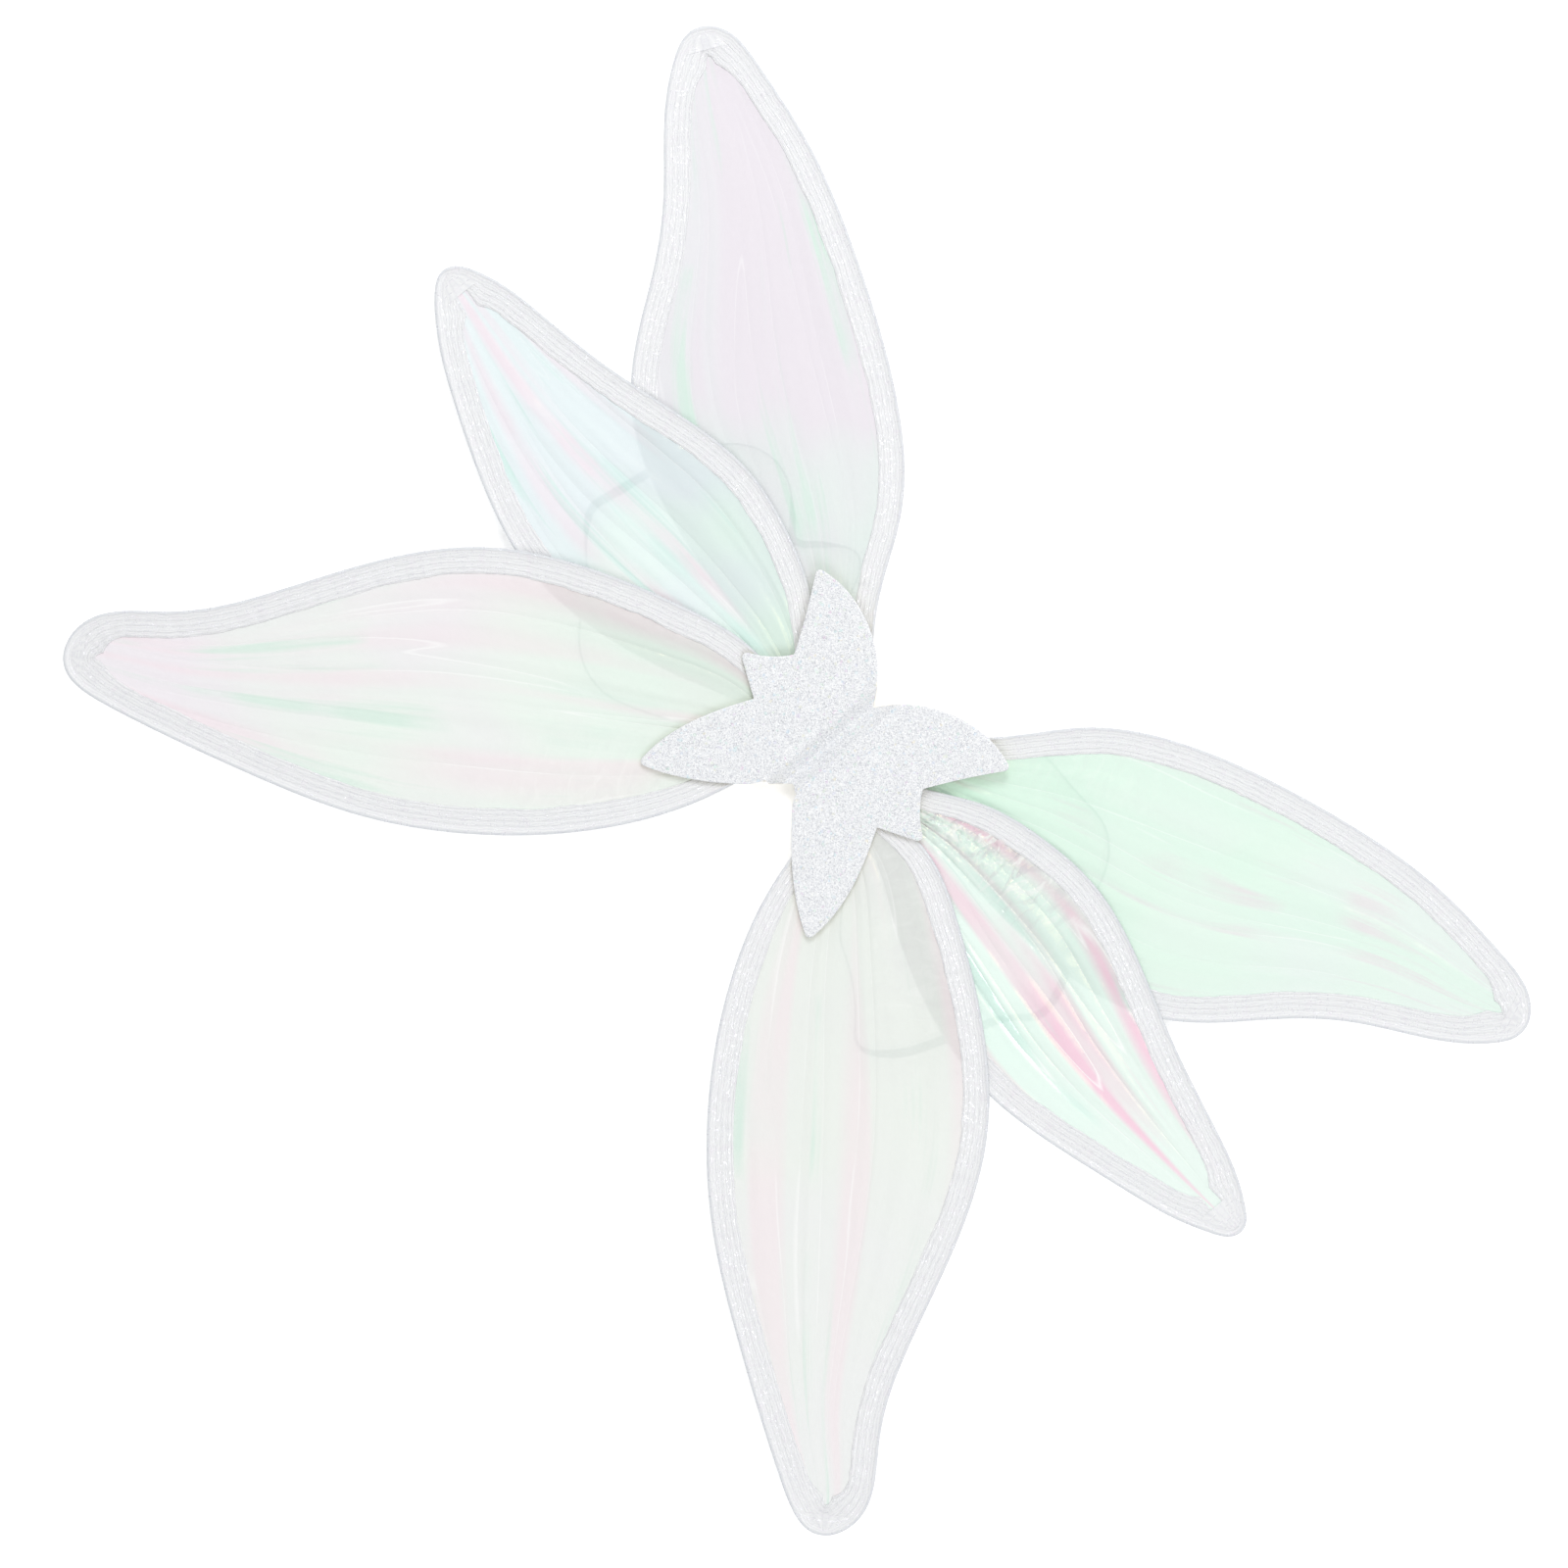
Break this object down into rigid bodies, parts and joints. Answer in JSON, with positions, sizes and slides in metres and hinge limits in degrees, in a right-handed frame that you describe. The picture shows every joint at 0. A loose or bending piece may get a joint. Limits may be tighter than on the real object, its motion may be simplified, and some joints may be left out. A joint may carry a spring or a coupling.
{
  "type": "fairy wings",
  "caption": "Costume fairy wings: wire-framed iridescent film leaves with ribbon edges on a folding glitter-foam spine, with elastic shoulder straps.",
  "frame": {"origin": "middle of the back pad's underside, on the spine, where it rests on the wearer's back", "axes": "+Z out of the glitter side, away from the wearer; +Y up the spine to the upper leaves; +X to the right-hand leaves as seen from the glitter side"},
  "size_m": [0.7991, 0.5665, 0.0159],
  "materials": {
    "foam_glitter": "satin",
    "pad_foam": "matte",
    "film": "gloss",
    "ribbon": "satin",
    "wire": "satin",
    "ferrule": "satin",
    "glue": "satin",
    "elastic": "matte"
  },
  "bodies": {
    "spine": {"back_pad_spine": "pad_foam", "front_foam_spine": "foam_glitter"},
    "left_wing": {"left_upper_frame": "wire", "left_upper_binding": "ribbon", "left_upper_film": "film", "left_middle_frame": "wire", "left_middle_binding": "ribbon", "left_middle_film": "film", "left_lower_frame": "wire", "left_lower_binding": "ribbon", "left_lower_film": "film", "left_ferrules": "ferrule", "left_glue_beads": "glue", "left_strap": "elastic", "left_back_pad": "pad_foam", "left_front_foam": "foam_glitter"},
    "right_wing": {"right_upper_frame": "wire", "right_upper_binding": "ribbon", "right_upper_film": "film", "right_middle_frame": "wire", "right_middle_binding": "ribbon", "right_middle_film": "film", "right_lower_frame": "wire", "right_lower_binding": "ribbon", "right_lower_film": "film", "right_ferrules": "ferrule", "right_glue_beads": "glue", "right_strap": "elastic", "right_back_pad": "pad_foam", "right_front_foam": "foam_glitter"}
  },
  "joints": [
    {"name": "left_fold", "type": "hinge", "parent": "spine", "child": "left_wing", "pos_m": [-0.01, 0, 0.006], "axis": [0, 1, 0], "range_deg": [0, 80]},
    {"name": "right_fold", "type": "hinge", "parent": "spine", "child": "right_wing", "pos_m": [0.01, 0, 0.006], "axis": [0, -1, 0], "range_deg": [0, 80]}
  ]
}
